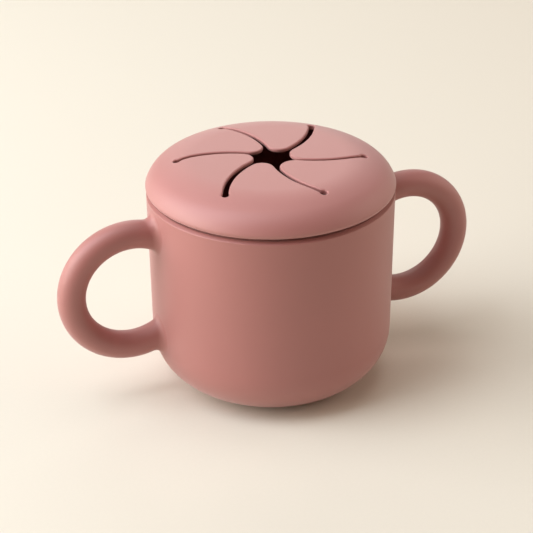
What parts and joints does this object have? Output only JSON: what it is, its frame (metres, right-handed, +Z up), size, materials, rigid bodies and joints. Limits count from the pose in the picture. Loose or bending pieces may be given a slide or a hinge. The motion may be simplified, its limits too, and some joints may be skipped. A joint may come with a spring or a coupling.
{
  "type": "toddler snack container",
  "caption": "Round moulded rubber snack cup with a loop handle on each side and a press-on dome lid whose curved flaps fold down to let a small hand in.",
  "frame": {"origin": "centre of the cup's flat base, on the cup's axis", "axes": "+Z up along the cup's axis, +X towards one handle, +Y square to the handles"},
  "size_m": [0.156, 0.086, 0.0831],
  "materials": {
    "cup_silicone": "matte",
    "lid_silicone": "matte"
  },
  "bodies": {
    "cup": {"cup_body": "cup_silicone", "handle_left": "cup_silicone", "handle_right": "cup_silicone"},
    "lid": {"lid_shell": "lid_silicone"},
    "petal_1": {"petal_1": "lid_silicone"},
    "petal_2": {"petal_2": "lid_silicone"},
    "petal_3": {"petal_3": "lid_silicone"},
    "petal_4": {"petal_4": "lid_silicone"},
    "petal_5": {"petal_5": "lid_silicone"},
    "petal_6": {"petal_6": "lid_silicone"}
  },
  "joints": [
    {"name": "lid_lift", "type": "slide", "parent": "cup", "child": "lid", "axis": [0, 0, 1], "range_m": [0, 0.04]},
    {"name": "petal_1_fold", "type": "hinge", "parent": "lid", "child": "petal_1", "pos_m": [0.00944, 0.02638, 0.08132], "axis": [0.9415, -0.3371, 0], "range_deg": [-35, 60], "stiffness_Nm_per_rad": 0.015},
    {"name": "petal_2_fold", "type": "hinge", "parent": "lid", "child": "petal_2", "pos_m": [-0.01812, 0.02137, 0.08132], "axis": [0.7627, 0.6468, 0], "range_deg": [-35, 60], "stiffness_Nm_per_rad": 0.015},
    {"name": "petal_3_fold", "type": "hinge", "parent": "lid", "child": "petal_3", "pos_m": [-0.02756, -0.00501, 0.08132], "axis": [-0.1788, 0.9839, 0], "range_deg": [-35, 60], "stiffness_Nm_per_rad": 0.015},
    {"name": "petal_4_fold", "type": "hinge", "parent": "lid", "child": "petal_4", "pos_m": [-0.00944, -0.02638, 0.08132], "axis": [-0.9415, 0.3371, 0], "range_deg": [-35, 60], "stiffness_Nm_per_rad": 0.015},
    {"name": "petal_5_fold", "type": "hinge", "parent": "lid", "child": "petal_5", "pos_m": [0.01812, -0.02137, 0.08132], "axis": [-0.7627, -0.6468, 0], "range_deg": [-35, 60], "stiffness_Nm_per_rad": 0.015},
    {"name": "petal_6_fold", "type": "hinge", "parent": "lid", "child": "petal_6", "pos_m": [0.02756, 0.00501, 0.08132], "axis": [0.1788, -0.9839, 0], "range_deg": [-35, 60], "stiffness_Nm_per_rad": 0.015}
  ]
}
